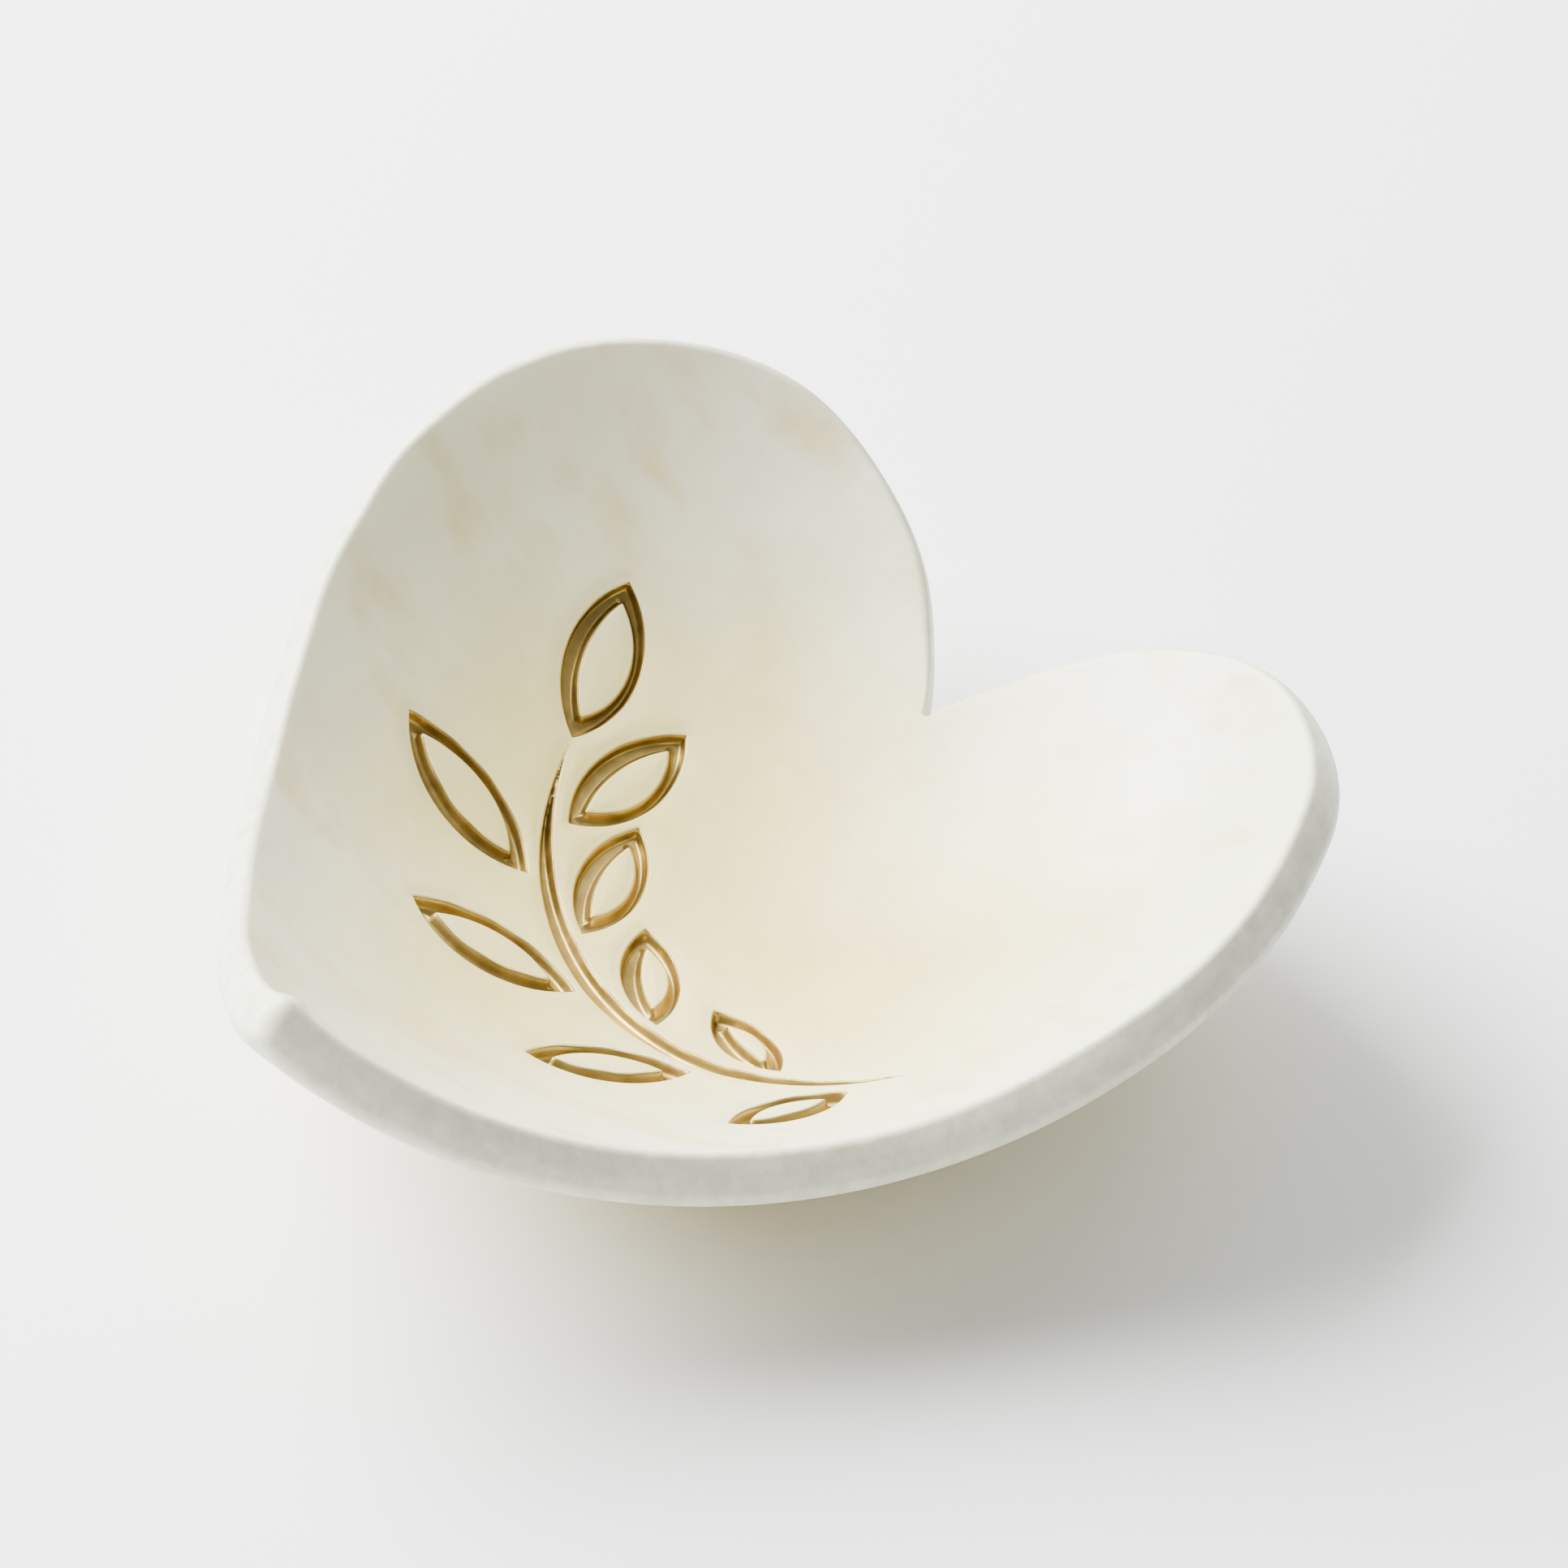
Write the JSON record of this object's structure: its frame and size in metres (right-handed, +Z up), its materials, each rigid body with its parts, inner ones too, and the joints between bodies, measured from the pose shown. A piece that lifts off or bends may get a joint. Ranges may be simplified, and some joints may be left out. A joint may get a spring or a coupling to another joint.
{
  "type": "heart-shaped trinket dish",
  "caption": "Open heart-shaped ceramic dish curled up from one slab, with a gold-filled leafy sprig pressed into its floor, for rings and small jewellery.",
  "frame": {"origin": "centre of the small flat ground on the underside, on which the dish rests", "axes": "+X across the heart, +Y from its tip to its cleft, +Z up out of the bowl"},
  "size_m": [0.0888, 0.0938, 0.0338],
  "materials": {
    "glazed_clay": "satin",
    "gold": "satin"
  },
  "bodies": {
    "root": {"dish_slab": "glazed_clay", "gold_stem": "gold", "gold_leaf_outer_1": "gold", "gold_leaf_outer_2": "gold", "gold_leaf_outer_3": "gold", "gold_leaf_outer_4": "gold", "gold_leaf_inner_1": "gold", "gold_leaf_inner_2": "gold", "gold_leaf_inner_3": "gold", "gold_leaf_inner_4": "gold", "gold_leaf_end": "gold"}
  },
  "joints": []
}
